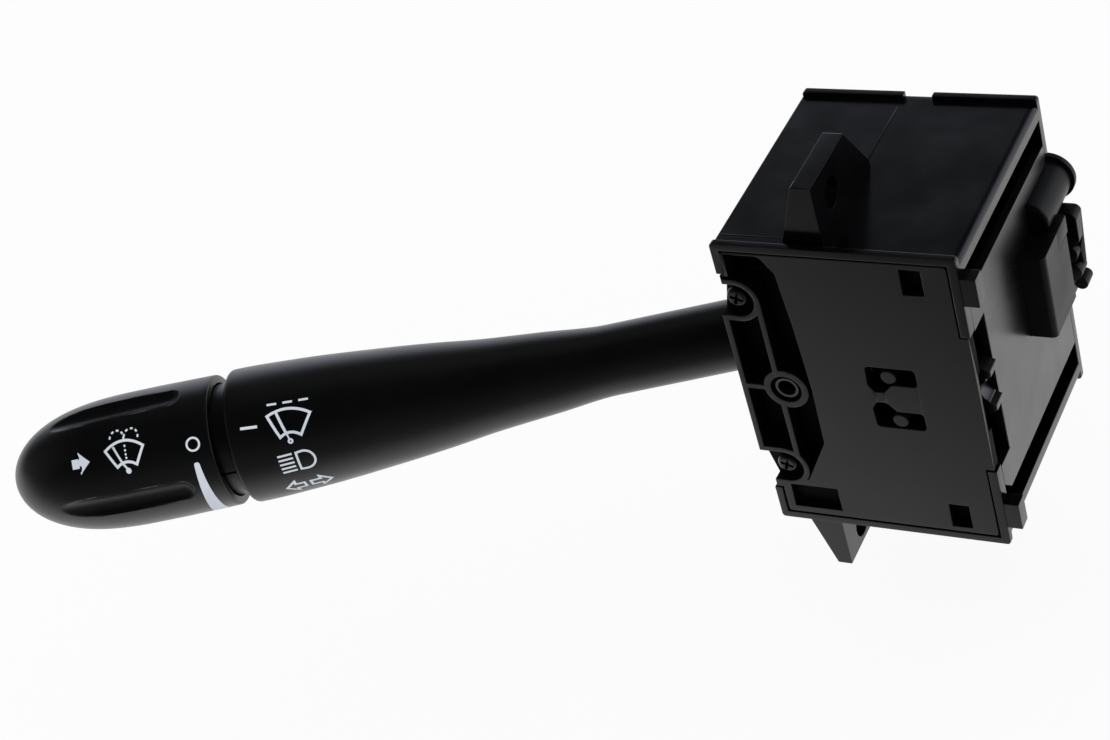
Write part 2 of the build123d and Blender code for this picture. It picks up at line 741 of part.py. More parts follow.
def make_carriage():
    back = carriage_front + carriage_thick
    plate = block(carriage_left, carriage_right, carriage_front, back, -carriage_half, carriage_half)
    plate = fillet(plate.edges().filter_by(Axis.Y), 1.5)
    for x, z in guide_pins:
        plate -= bar(guide_pin_radius, (x, carriage_front, z), (x, carriage_front + guide_pin_seat, z))
    return plate + bar(1.5, (pawl_x, cover_thick + 0.5, pawl_z), (pawl_x, carriage_front, pawl_z))


def make_cancel_spring():
    middle = carriage_front + carriage_thick / 2
    place = Plane(origin=(spring_stop, middle, 0), z_dir=(1, 0, 0))
    return place * coil(1.1, 0.45, carriage_left - spring_stop, 4)


def make_pawl():
    """The cancel pawl: an arm that swings between the guide pins, with a two-horned nose."""
    top = pawl_z + pawl_half
    low = pawl_z - pawl_half
    nose_x = box_width - 0.4
    body = Pos(pawl_x, pawl_z) * Circle(pawl_half)
    body += make_face(Polyline((pawl_x, top), (pawl_x + 3, top), (nose_x, nose_z + 5.6), (nose_x, nose_z - 5.6),
                               (pawl_x + 3, low), (pawl_x, low), close=True))
    horn_x = box_width + 0.9
    for z in (nose_z + 4.0, nose_z - 4.9):
        body += make_face(Polyline((nose_x - 1.6, z + 2.0), (horn_x, z + 1.1), (horn_x, z - 0.3),
                                   (nose_x - 1.6, z - 2.4), close=True))
    body -= Pos(box_width + 1, nose_z - 0.4) * Circle(3.0)
    pawl = along_y(body, pawl_front, pawl_back)
    return pawl - bar(1.5 + running_gap, (pawl_x, 0, pawl_z), (pawl_x, 12, pawl_z))


def make_guide_pins():
    """Two studs of the cancel slide that run in the cover's guide slots."""
    pins = []
    for x, z in guide_pins:
        pin = bar(guide_pin_radius, (x, 0.3, z), (x, carriage_front + guide_pin_seat, z))
        pins.append(fillet(pin.edges().group_by(Axis.Y)[0], 0.3))
    return Compound(children=pins)


os.makedirs("parts", exist_ok=True)
pieces = {
    "housing": make_housing,
    "cover": make_cover,
    "cover_screws": make_screws,
    "contact_carrier": make_carrier,
    "connector_shroud": make_shroud,
    "connector_terminals": make_blades,
    "guide_tube": make_tube,
    "detent_track": make_track,
    "turn_contacts": make_turn_contacts,
    "turn_cradle": make_cradle,
    "pivot_tube": make_pivot_tube,
    "beam_pin": make_beam_pin,
    "detent_plunger": make_plunger,
    "detent_spring": make_detent_spring,
    "beam_contacts": make_beam_contacts,
    "beam_slider": make_beam_slider,
    "beam_tips": make_beam_tips,
    "beam_springs": make_beam_springs,
    "turn_slider": make_turn_slider,
    "turn_bridge": make_turn_bridge,
    "lever_arm": make_lever_arm,
    "lever_root": make_lever_root,
    "wiper_contact_plate": make_contact_plate,
    "wiper_contacts": make_wiper_contacts,
    "washer_contact": make_washer_contact,
    "lever_end_plate": make_end_plate,
    "wiper_shaft": make_wiper_shaft,
    "wiper_rotor_disc": make_rotor_disc,
    "wiper_brushes": make_brushes,
    "knob_sleeve": make_sleeve,
    "end_knob": make_knob,
    "washer_push_rod": make_push_rod,
    "washer_spring": make_washer_spring,
    "cancel_carriage": make_carriage,
    "cancel_spring": make_cancel_spring,
    "cancel_pawl": make_pawl,
    "guide_pins": make_guide_pins,
}
for node, make in pieces.items():
    save(node, make())
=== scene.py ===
import json
from math import cos, log, exp, pi, radians, sin, sqrt

import bmesh
import bpy
from mathutils import Matrix, Vector
from mathutils.bvhtree import BVHTree


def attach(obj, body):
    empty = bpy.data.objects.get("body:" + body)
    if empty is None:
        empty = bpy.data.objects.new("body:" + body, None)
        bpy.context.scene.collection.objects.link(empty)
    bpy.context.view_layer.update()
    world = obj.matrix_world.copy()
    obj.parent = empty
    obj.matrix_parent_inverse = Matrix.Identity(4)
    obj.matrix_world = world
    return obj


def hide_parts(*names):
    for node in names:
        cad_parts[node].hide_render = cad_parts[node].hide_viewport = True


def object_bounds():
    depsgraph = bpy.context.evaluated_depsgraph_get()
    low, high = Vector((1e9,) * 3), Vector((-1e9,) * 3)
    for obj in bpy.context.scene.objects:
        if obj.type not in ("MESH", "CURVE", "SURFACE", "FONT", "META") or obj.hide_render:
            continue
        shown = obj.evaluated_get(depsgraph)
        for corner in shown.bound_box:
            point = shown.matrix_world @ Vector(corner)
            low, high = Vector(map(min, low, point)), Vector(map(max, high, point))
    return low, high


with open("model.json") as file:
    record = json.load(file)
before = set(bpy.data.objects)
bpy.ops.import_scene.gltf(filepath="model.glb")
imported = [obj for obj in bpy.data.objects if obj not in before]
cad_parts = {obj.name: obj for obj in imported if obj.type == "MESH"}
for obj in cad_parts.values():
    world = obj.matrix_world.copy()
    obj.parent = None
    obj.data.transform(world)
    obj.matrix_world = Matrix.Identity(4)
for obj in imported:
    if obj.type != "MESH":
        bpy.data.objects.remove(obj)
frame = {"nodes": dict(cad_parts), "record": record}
cad_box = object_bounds()
MM = 0.001

# The switch block's datum corner, from which the sizes below are measured, lies here in the frame
DATUM = Vector((-21.475, -11.3, -43.6))

# The lever's axis starts at the beam hinge; "around" is the angle from the driver's side upwards
HINGE = Vector((8.9, 24.55, 0.0))
LEVER_ANGLE = 25.66
LEVER_WAY = Vector((-cos(radians(LEVER_ANGLE)), -sin(radians(LEVER_ANGLE)), 0))
TO_DRIVER = Vector((sin(radians(LEVER_ANGLE)), -cos(radians(LEVER_ANGLE)), 0))
UP = Vector((0, 0, 1))

# Lever skin: distance from the hinge, radius
LEVER_LINE = ((13.0, 7.8), (47.0, 7.8), (61.4, 9.1), (75.4, 10.4), (85.5, 11.7), (97.2, 12.95),
              (116.0, 14.5), (130.8, 15.1), (132.0, 15.1))
LEVER_START, LEVER_END = 13.0, 132.0
LEVER_END_RADIUS = 15.1
LEVER_RIM = 1.0
LEVER_BORE, LEVER_TIP_BORE = 4.9, 12.4

# Knob: a short taper behind its rim, then a dome, with four flutes whose floor slopes inwards
KNOB_START, KNOB_TIP = 135.6, 186.5
KNOB_RIM_RADIUS, KNOB_RADIUS = 14.8, 15.0
KNOB_RIM = 0.5
TAPER_END = 149.0
DOME_START = 154.0
DOME_POWER = 2.7
FLUTE_RADIUS = 3.6
FLUTE_START, FLUTE_END = 145.0, 176.0
FLUTE_FLOOR = (13.7, 12.85)
FLUTE_EDGE = 0.07

# Faces around the lever's and the knob's skin, and half the thickness of the printed ink
LEVER_TURNS, KNOB_TURNS = 128, 320
INK_THICK = 0.04

# Edges of a moulding that are sharper than this, in degrees, are rounded. In the rounded copy, edges
# sharper than EASED_SMOOTH are still shaded as edges
SHARP_EDGE = 30
EASED_SMOOTH = 50

# Cover: its corners beside the housing's rim, in ranges of Z, and how far left they may reach. What lies
# deeper than RECESS_DEPTH has the rough finish, with painted shade: a darker colour and little shine
HORN_UPPER, HORN_LOWER = (25.5, 30.3), (-30.3, -26.0)
HORN_LEFT = 0.6
RECESS_DEPTH = 0.7

# Coding ribs on the connector: where they start in X and Y, how far they are raised, from where upwards
# that fades out and over what height, and the Z of the bounds between them
RIBS_X, RIBS_Y = 54.65, 49.9
RIBS_RISE = 2.9
FADE_START, FADE_HEIGHT = 0.5, 7.5
RIB_UPPER, RIB_MIDDLE, RIB_LOWER = -0.3, -4.9, -9.7

# How white the floor is in mirror rays, against half metres ahead of the middle, and the wall against the
# upward part of the direction
FLOOR_LEVELS = ((0.0, 1.0), (0.06, 0.92), (0.13, 0.55), (0.18, 0.27), (0.26, 0.16), (0.4, 0.1),
                (0.7, 0.06), (1.0, 0.04))
WALL_LEVELS = ((0.34, 1.0), (0.43, 0.5), (0.52, 0.18), (0.62, 0.06), (0.8, 0.03), (1.0, 0.025))
WALL_TINT = (0.94, 0.97, 1.12)

# Half the floor's side and its distance below the part, in metres, and how much of it is plain white glow
FLOOR_HALF, FLOOR_DROP = 3.0, 0.02
FLOOR_GLOW = 0.9


def at(x, y, z):
    """A place in the frame from millimetres from the datum corner."""
    return (Vector((x, y, z)) + DATUM) * MM


def around_lever(distance, radius, angle):
    """A place in the frame from the distance along the lever, the radius and the angle around it."""
    side = TO_DRIVER * cos(angle) + UP * sin(angle)
    return (HINGE + LEVER_WAY * distance + side * radius + DATUM) * MM


def rise(points, x):
    """A smooth line through rising points that never overshoots them."""
    if x <= points[0][0]:
        return points[0][1]
    chords = [(b[1] - a[1]) / (b[0] - a[0]) for a, b in zip(points, points[1:])]
    slopes = [chords[0]]
    for before, after in zip(chords, chords[1:]):
        slopes.append(0 if before * after <= 0 else 2 * before * after / (before + after))
    slopes.append(chords[-1])
    for i, (a, b) in enumerate(zip(points, points[1:])):
        if x <= b[0]:
            width = b[0] - a[0]
            t = (x - a[0]) / width
            near = (1 + 2 * t) * (1 - t) ** 2 * a[1] + t * (1 - t) ** 2 * width * slopes[i]
            return near + t * t * (3 - 2 * t) * b[1] + t * t * (t - 1) * width * slopes[i + 1]
    return points[-1][1]


def lever_radius(distance, angle=0.0):
    """The lever's radius, which is the same at every angle."""
    return rise(LEVER_LINE, distance)


def knob_line(distance):
    """The knob's outer radius before the flutes are cut."""
    if distance < DOME_START:
        share = min(1.0, max(0.0, (distance - KNOB_START) / (TAPER_END - KNOB_START)))
        return KNOB_RIM_RADIUS + (KNOB_RADIUS - KNOB_RIM_RADIUS) * share
    share = min(1.0, (distance - DOME_START) / (KNOB_TIP - DOME_START))
    return KNOB_RADIUS * sqrt(1 - share ** DOME_POWER)


def flute_floor(distance, angle):
    """The radius that the nearest of the four flutes leaves. Away from the flutes it is beyond the knob."""
    turn = (angle + pi / 4) % (pi / 2) - pi / 4
    share = (distance - FLUTE_START) / (FLUTE_END - FLUTE_START)
    held = min(1.0, max(0.0, share))
    centre = FLUTE_FLOOR[0] + (FLUTE_FLOOR[1] - FLUTE_FLOOR[0]) * held + FLUTE_RADIUS
    past = distance - FLUTE_START - held * (FLUTE_END - FLUTE_START)
    reach = FLUTE_RADIUS ** 2 - past ** 2 - (centre * sin(turn)) ** 2
    if reach <= 0:
        return 99.0
    return centre * cos(turn) - sqrt(reach)


def knob_radius(distance, angle):
    """The knob's radius with its flutes, their edges slightly rounded."""
    line = knob_line(distance)
    floor = flute_floor(distance, angle)
    gap = (floor - line) / FLUTE_EDGE
    if gap > 30:
        return line
    if gap < -30:
        return floor
    return line - FLUTE_EDGE * log(1 + exp(-gap))


def finish_mesh(name, bm, body, material, smooth_angle=35):
    """Makes a piece of a bmesh, smooth but for its sharp edges, and sets it on its body."""
    bmesh.ops.recalc_face_normals(bm, faces=bm.faces)
    for face in bm.faces:
        face.smooth = True
    for edge in bm.edges:
        if len(edge.link_faces) == 2 and edge.calc_face_angle(0) > radians(smooth_angle):
            edge.smooth = False
    mesh = bpy.data.meshes.new(name)
    bm.to_mesh(mesh)
    bm.free()
    piece = bpy.data.objects.new(name, mesh)
    bpy.context.scene.collection.objects.link(piece)
    mesh.materials.append(material)
    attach(piece, body)
    return piece


def ringed(name, rings, turns, body, material):
    """A closed skin from rings, the last one joined to the first. A ring of no radius is a single place."""
    bm = bmesh.new()
    rows = []
    for ring in rings:
        if ring.single:
            rows.append([bm.verts.new(ring(0))])
        else:
            rows.append([bm.verts.new(ring(2 * pi * k / turns)) for k in range(turns)])
    for low, high in zip(rows, rows[1:] + rows[:1]):
        for k in range(turns):
            corners = [low[k % len(low)], low[(k + 1) % len(low)],
                       high[(k + 1) % len(high)], high[k % len(high)]]
            corners = [c for i, c in enumerate(corners) if c not in corners[:i]]
            if len(corners) > 2:
                bm.faces.new(corners)
    return finish_mesh(name, bm, body, material)


class Ring:
    """One ring of a turned piece, with a radius that may depend on the angle."""

    def __init__(self, distance, radius):
        self.distance = distance
        self.radius = radius
        self.single = radius == 0

    def __call__(self, angle):
        radius = self.radius(self.distance, angle) if callable(self.radius) else self.radius
        return around_lever(self.distance, radius, angle)


def steps(first, last, count):
    """Even steps from one value to another, with both ends."""
    return [first + (last - first) * k / count for k in range(count + 1)]


def noise_bump(tree, shader, scale, strength):
    """Fine grain in the surface's normal. Gives the node that tells the place on the surface."""
    where = tree.nodes.new("ShaderNodeTexCoord")
    grain = tree.nodes.new("ShaderNodeTexNoise")
    grain.inputs["Scale"].default_value = scale
    grain.inputs["Detail"].default_value = 4.0
    bump = tree.nodes.new("ShaderNodeBump")
    bump.inputs["Strength"].default_value = strength
    bump.inputs["Distance"].default_value = 0.0001
    tree.links.new(where.outputs["Object"], grain.inputs["Vector"])
    tree.links.new(grain.outputs["Fac"], bump.inputs["Height"])
    tree.links.new(bump.outputs["Normal"], shader.inputs["Normal"])
    return where


def varied(tree, where, shader, low, high):
    """Lets the roughness wander between two limits over the surface."""
    cloud = tree.nodes.new("ShaderNodeTexNoise")
    cloud.inputs["Scale"].default_value = 90.0
    cloud.inputs["Detail"].default_value = 3.0
    limits = tree.nodes.new("ShaderNodeMapRange")
    limits.inputs["From Min"].default_value = 0.3
    limits.inputs["From Max"].default_value = 0.7
    limits.inputs["To Min"].default_value = low
    limits.inputs["To Max"].default_value = high
    tree.links.new(where.outputs["Object"], cloud.inputs["Vector"])
    tree.links.new(cloud.outputs["Fac"], limits.inputs["Value"])
    tree.links.new(limits.outputs["Result"], shader.inputs["Roughness"])


def tinted(tree, where, shader, first, second):
    """Lets the colour wander between two near colours."""
    cloud = tree.nodes.new("ShaderNodeTexNoise")
    cloud.inputs["Scale"].default_value = 60.0
    cloud.inputs["Detail"].default_value = 5.0
    ramp = tree.nodes.new("ShaderNodeValToRGB")
    ramp.color_ramp.elements[0].position = 0.35
    ramp.color_ramp.elements[0].color = (*first, 1)
    ramp.color_ramp.elements[1].position = 0.65
    ramp.color_ramp.elements[1].color = (*second, 1)
    tree.links.new(where.outputs["Object"], cloud.inputs["Vector"])
    tree.links.new(cloud.outputs["Fac"], ramp.inputs["Fac"])
    tree.links.new(ramp.outputs["Color"], shader.inputs["Base Color"])


def plastic(name, colours, roughness, grain, bump, specular=0.5):
    """Moulded plastic: near-even colour, wandering sheen and a fine grain."""
    material = bpy.data.materials.new(name)
    material.use_nodes = True
    tree = material.node_tree
    shader = tree.nodes["Principled BSDF"]
    shader.inputs["Specular IOR Level"].default_value = specular
    where = noise_bump(tree, shader, grain, bump)
    varied(tree, where, shader, *roughness)
    tinted(tree, where, shader, *colours)
    return material


def metal(name, colours, roughness, grain, bump):
    """Metal with a wandering sheen and fine marks."""
    material = plastic(name, colours, roughness, grain, bump)
    material.node_tree.nodes["Principled BSDF"].inputs["Metallic"].default_value = 1.0
    return material


def make_materials():
    """The finishes of the record's slots, of the connector and of the printed signs, and the recesses' rough
    finish with painted shade.
    """
    black = (0.0007, 0.00075, 0.0008)
    dark = (0.0012, 0.0013, 0.0013)
    # Name, two near colours, limits of the roughness, the grain's scale and strength, specular level
    return {
        "housing_plastic": plastic("moulded_black", (black, (0.0011, 0.0012, 0.0016)),
                                   (0.12, 0.24), 900, 0.08, 0.42),
        "cover_plastic": plastic("satin_black", (dark, (0.0024, 0.0026, 0.0022)),
                                 (0.3, 0.38), 3200, 0.12, 0.42),
        "carrier_plastic": plastic("carrier_black", (black, dark), (0.26, 0.34), 3000, 0.08, 0.8),
        "lever_plastic": plastic("grained_black", (black, dark), (0.28, 0.34), 5200, 0.3, 0.5),
        "lever_core_plastic": plastic("core_black", (black, dark), (0.4, 0.5), 3000, 0.15),
        "natural_plastic": plastic("acetal", ((0.66, 0.64, 0.57), (0.74, 0.72, 0.66)),
                                   (0.35, 0.45), 1800, 0.1),
        "screw_steel": metal("black_zinc", ((0.02, 0.02, 0.019), (0.06, 0.06, 0.056)),
                             (0.2, 0.32), 2400, 0.2),
        "pin_steel": metal("ground_steel", ((0.6, 0.6, 0.62), (0.72, 0.72, 0.73)),
                           (0.2, 0.32), 3000, 0.1),
        "spring_steel": metal("wire_steel", ((0.42, 0.42, 0.44), (0.52, 0.52, 0.54)),
                              (0.28, 0.38), 3000, 0.1),
        "contact_brass": metal("strip_brass", ((0.66, 0.48, 0.22), (0.78, 0.6, 0.32)),
                               (0.25, 0.4), 2600, 0.12),
        # White printing ink, slightly blue and worn
        "ink": plastic("print_ink", ((0.62, 0.66, 0.74), (0.76, 0.79, 0.84)), (0.5, 0.65), 4000, 0.2, 0.3),
        # The rough, unpolished faces down in the cored areas, with painted shade: a darker colour and little
        # shine
        "recess": plastic("recess_black", ((0.0006, 0.0006, 0.0006), (0.001, 0.001, 0.001)),
                          (0.6, 0.7), 2000, 0.1, 0.08),
        # The connector's moulding, duller than the plate beside it
        "connector": plastic("connector_black", (black, dark), (0.34, 0.42), 3000, 0.1, 0.2),
    }


def dress_nodes(materials):
    """Gives each frame node the finish of its record slot."""
    for row in frame["record"]["subparts"]:
        node = frame["nodes"][row["node"]]
        if not node.data.materials:
            node.data.materials.append(None)
        for k in range(len(node.data.materials)):
            node.data.materials[k] = materials[row["material_slot"]]


def body_of_node(name):
    """The body that a node belongs to."""
    for body, members in frame["record"]["behaviour"]["bodies"].items():
        if name in members:
            return body


def slot_of_node(name):
    """The record's material slot of a node."""
    for row in frame["record"]["subparts"]:
        if row["node"] == name:
            return row["material_slot"]


def eased(node, width, materials, material=None, move=None, recess_shade_mask=None):
    """A copy of a moulded node with the small edge rounds of a real moulding, which replaces it.

    move gives the new place of a corner, and deep says whether a face has the recesses' rough finish with
    painted shade."""
    bm = bmesh.new()
    bm.from_mesh(frame["nodes"][node].data)
    bmesh.ops.remove_doubles(bm, verts=bm.verts, dist=2e-6)
    if move:
        for vert in bm.verts:
            vert.co = at(*move(*(vert.co / MM - DATUM)))
    skin = BVHTree.FromBMesh(bm)
    bmesh.ops.dissolve_limit(bm, angle_limit=radians(0.6), verts=bm.verts, edges=bm.edges,
                             use_dissolve_boundaries=False)
    edges = [e for e in bm.edges
             if len(e.link_faces) == 2 and e.is_convex and e.calc_face_angle(0) > radians(SHARP_EDGE)]
    bmesh.ops.bevel(bm, geom=edges, offset=width * MM, offset_type="OFFSET", segments=2, profile=0.6,
                    affect="EDGES", clamp_overlap=False, miter_outer="SHARP")
    # A corner that the bevel threw off the moulding goes back onto it
    for vert in bm.verts:
        place, _, _, distance = skin.find_nearest(vert.co)
        if distance > 0.5 * width * MM:
            vert.co = place
        vert.co = [min(max(c, low), high) for c, low, high in zip(vert.co, *cad_box)]
    bmesh.ops.triangulate(bm, faces=[f for f in bm.faces if len(f.verts) > 4])
    slot = slot_of_node(node)
    # Faces down in the cored areas take a second slot: a rough finish with painted shade, a darker colour and
    # little shine
    if recess_shade_mask:
        for face in bm.faces:
            face.material_index = int(recess_shade_mask(*(face.calc_center_median() / MM - DATUM)))
    piece = finish_mesh(node + "_eased", bm, body_of_node(node), material or materials[slot],
                        EASED_SMOOTH)
    if recess_shade_mask:
        piece.data.materials.append(materials["recess"])
    even = piece.modifiers.new("even_shading", "WEIGHTED_NORMAL")
    even.keep_sharp = True
    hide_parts(node)


def trimmed_horns(x, y, z):
    """The cover's two corners beside the housing's rim, trimmed to end where the rim does."""
    if (HORN_UPPER[0] < z < HORN_UPPER[1] or HORN_LOWER[0] < z < HORN_LOWER[1]) and x < HORN_LEFT:
        return HORN_LEFT, y, z
    return x, y, z


def in_recess(x, y, z):
    """Whether a place on the cover lies down in its cored areas or cups, which get painted shade."""
    return y > RECESS_DEPTH


def raised_ribs(x, y, z):
    """The coding ribs on the connector's right side, set a little higher than in the solid."""
    if x < RIBS_X or y < RIBS_Y:
        return x, y, z
    up = RIBS_RISE if z < FADE_START else max(0.0, RIBS_RISE * (1 - (z - FADE_START) / FADE_HEIGHT))
    if RIB_MIDDLE < z < RIB_UPPER:
        return max(RIBS_X, x - 0.9), y, z + up
    if RIB_LOWER < z <= RIB_MIDDLE:
        return max(RIBS_X, x - 0.5), y, z + up
    if z <= RIB_LOWER:
        return x, y + 1.1, z + up
    return x, y, z + up


def slab(bm, x0, x1, y0, y1, z0, z1, ease=0.0):
    """A bar of moulding between limits in X, Y and Z, its edges eased."""
    made = bmesh.ops.create_cube(bm, size=1)["verts"]
    for vert in made:
        share = vert.co + Vector((0.5, 0.5, 0.5))
        vert.co = at(x0 + (x1 - x0) * share.x, y0 + (y1 - y0) * share.y, z0 + (z1 - z0) * share.z)
    if ease:
        edges = list({edge for vert in made for edge in vert.link_edges})
        bmesh.ops.bevel(bm, geom=edges, offset=ease * MM, segments=2, profile=0.6, affect="EDGES")


def make_parting_lines(materials):
    """Fine raised lines that the mould left on the housing's top."""
    bm = bmesh.new()
    top = 36.6
    slab(bm, 22.55, 22.85, 30.6, 54.6, top - 0.1, top + 0.1, 0.05)
    slab(bm, 0.6, 15.2, 4.7, 4.9, top - 0.1, top + 0.06, 0.05)
    finish_mesh("parting_lines", bm, "base", materials["housing_plastic"])


def make_fillings(materials):
    """Small mouldings that the photo shows or that close a gap, and dark sheets of painted shade behind the
    windows.
    """
    # The cover's rim strip beside its cored area
    bm = bmesh.new()
    slab(bm, 1.7, 2.5, 0.12, 5.0, 29.5, 35.4, 0.12)
    finish_mesh("cover_corner", bm, "base", materials["cover_plastic"])
    # Behind each end of the right rim, and over the back wall's opening
    bm = bmesh.new()
    slab(bm, 50.7, 51.95, 0.5, 3.4, 18.9, 25.4, 0.1)
    slab(bm, 50.7, 51.95, 0.5, 3.4, -34.9, -27.2, 0.1)
    slab(bm, 44.0, 51.8, 51.6, 53.0, 22.3, 26.0, 0.1)
    finish_mesh("housing_braces", bm, "base", materials["housing_plastic"])
    # Dark sheets behind the two windows: painted shade where the inside lies in shade
    bm = bmesh.new()
    for side in (1, -1):
        slab(bm, 39.2, 44.8, 2.72, 3.2, *sorted((side * 27.5, side * 35.0)))
    finish_mesh("window_painted_shades", bm, "base", materials["recess"])
    # Where the connector's body runs on to its mouth
    bm = bmesh.new()
    slab(bm, 55.95, 57.68, 37.9, 44.6, 11.0, 15.35, 0.3)
    finish_mesh("connector_shoulder", bm, "base", materials["connector"])


def make_lever(materials):
    """The lever's flared skin, with its rounded rim and its bore."""
    rings = [Ring(LEVER_START, lever_radius(LEVER_START) - 0.6)]
    rings += [Ring(s, lever_radius) for s in steps(LEVER_START + 0.6, LEVER_END - LEVER_RIM, 150)]
    for k in range(1, 7):
        lean = radians(90 * k / 6)
        rings.append(Ring(LEVER_END - LEVER_RIM + LEVER_RIM * sin(lean),
                          LEVER_END_RADIUS - LEVER_RIM + LEVER_RIM * cos(lean)))
    for distance, radius in ((132.0, 12.7), (131.7, LEVER_TIP_BORE), (114.0, LEVER_TIP_BORE), (114.0, 11.4),
                             (104.0, 11.4), (98.0, LEVER_BORE), (LEVER_START, LEVER_BORE)):
        rings.append(Ring(distance, radius))
    skin = ringed("lever_skin", rings, LEVER_TURNS, "lever", materials["lever_plastic"])
    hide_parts("lever_arm")


def make_knob(materials):
    """The end knob with its four finger flutes, and its inside."""
    rings = [Ring(KNOB_START, 13.0), Ring(KNOB_START, KNOB_RIM_RADIUS - KNOB_RIM)]
    for k in range(1, 5):
        lean = radians(90 * k / 4)
        rings.append(Ring(KNOB_START + KNOB_RIM - KNOB_RIM * cos(lean),
                          KNOB_RIM_RADIUS - KNOB_RIM + KNOB_RIM * sin(lean)))
    rings += [Ring(s, knob_radius) for s in steps(137.0, 141.0, 4)]
    rings += [Ring(s, knob_radius) for s in steps(141.3, DOME_START, 60)]
    length = KNOB_TIP - DOME_START
    for k in range(1, 110):
        lean = radians(90 * k / 110)
        rings.append(Ring(DOME_START + length * sin(lean) ** (2 / DOME_POWER), knob_radius))
    rings.append(Ring(KNOB_TIP, 0))
    rings.append(Ring(182.0, 0))
    for distance, radius in ((179.4, 4.6), (175.0, 7.4), (168.0, 9.8), (160.0, 10.8),
                             (149.0, 11.0), (149.0, 12.9), (136.0, 12.9)):
        rings.append(Ring(distance, radius))
    knob = ringed("knob_skin", rings, KNOB_TURNS, "knob", materials["lever_plastic"])
    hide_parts("end_knob")


def ribbon(bm, path, widths, radius_of, closed=False):
    """A raised band of ink along a path of (distance, arc) points on the lever or the knob."""
    count = len(path)
    rows = []
    for k, (s, a) in enumerate(path):
        before = path[k - 1] if closed or k else path[k]
        after = path[(k + 1) % count] if closed or k < count - 1 else path[k]
        first = Vector((s - before[0], a - before[1]))
        last = Vector((after[0] - s, after[1] - a))
        if first.length < 1e-9:
            first = last
        if last.length < 1e-9:
            last = first
        first.normalize()
        last.normalize()
        way = (first + last).normalized()
        half = widths[k] / 2 if isinstance(widths, (list, tuple)) else widths / 2
        half /= max(0.5, way.dot(first))
        across = Vector((-way.y, way.x))
        row = []
        for lift in (-INK_THICK, INK_THICK):
            for side in (-half, 0, half):
                distance = s + across.x * side
                around = (a + across.y * side) / radius_of(distance, 0)
                row.append(bm.verts.new(around_lever(distance, radius_of(distance, around) + lift, around)))
        rows.append(row)
    loop = (0, 1, 2, 5, 4, 3)
    pairs = list(zip(rows, rows[1:]))
    if closed:
        pairs.append((rows[-1], rows[0]))
    for one, two in pairs:
        for i in range(6):
            j = (i + 1) % 6
            bm.faces.new([one[loop[i]], one[loop[j]], two[loop[j]], two[loop[i]]])
    if not closed:
        for row in (rows[0], rows[-1]):
            bm.faces.new([row[i] for i in loop])


def along(points):
    """Points added between corners so that a band follows the round surface."""
    path = [points[0]]
    for a, b in zip(points, points[1:]):
        parts = max(1, round(sqrt((b[0] - a[0]) ** 2 + (b[1] - a[1]) ** 2) / 0.5))
        path += [(a[0] + (b[0] - a[0]) * k / parts, a[1] + (b[1] - a[1]) * k / parts)
                 for k in range(1, parts + 1)]
    return path


def arc_path(centre, radius, first, last, count):
    """An arc of (distance, arc) points; angle 0 is towards the switch block, 90 is up."""
    path = []
    for k in range(count + 1):
        angle = radians(first + (last - first) * k / count)
        path.append((centre[0] - radius * cos(angle), centre[1] + radius * sin(angle)))
    return path


def bowed(first, last, bulge):
    """A shallow arc from one point to another that bulges upwards."""
    count = 12
    path = []
    for k in range(count + 1):
        t = k / count
        path.append((first[0] + (last[0] - first[0]) * t,
                     first[1] + (last[1] - first[1]) * t + bulge * 4 * t * (1 - t)))
    return path


def screen_symbol(bm, corners, bulges, stroke, radius_of):
    """A windscreen's outline: two arcs joined by two slanted sides."""
    path = bowed(corners[0], corners[1], bulges[0])
    path += along([corners[1], corners[2]])[1:-1]
    path += bowed(corners[2], corners[3], bulges[1])
    path += along([corners[3], corners[0]])[1:-1]
    ribbon(bm, path, stroke, radius_of, closed=True)


def dot_symbol(bm, centre, radius, radius_of):
    """A filled dot."""
    turns = (180, 150, 120, 90, 60, 30, 0)
    ribbon(bm, [(centre[0] + radius * cos(radians(t)), centre[1]) for t in turns],
           [2 * radius * max(0.12, sin(radians(t))) for t in turns], radius_of)


def arrow_outline(bm, tip, tail, middle, head, radius_of):
    """An open arrow along the lever."""
    way = 1 if tip > tail else -1
    neck = tip - way * head
    half_head, half_shaft = 2.2, 0.95
    path = [(tip, middle), (neck, middle + half_head), (neck + way * 0.1, middle + half_shaft),
            (tail, middle + half_shaft), (tail, middle - half_shaft), (neck + way * 0.1, middle - half_shaft),
            (neck, middle - half_head), (tip, middle)]
    ribbon(bm, along(path)[:-1], 0.58, radius_of, closed=True)


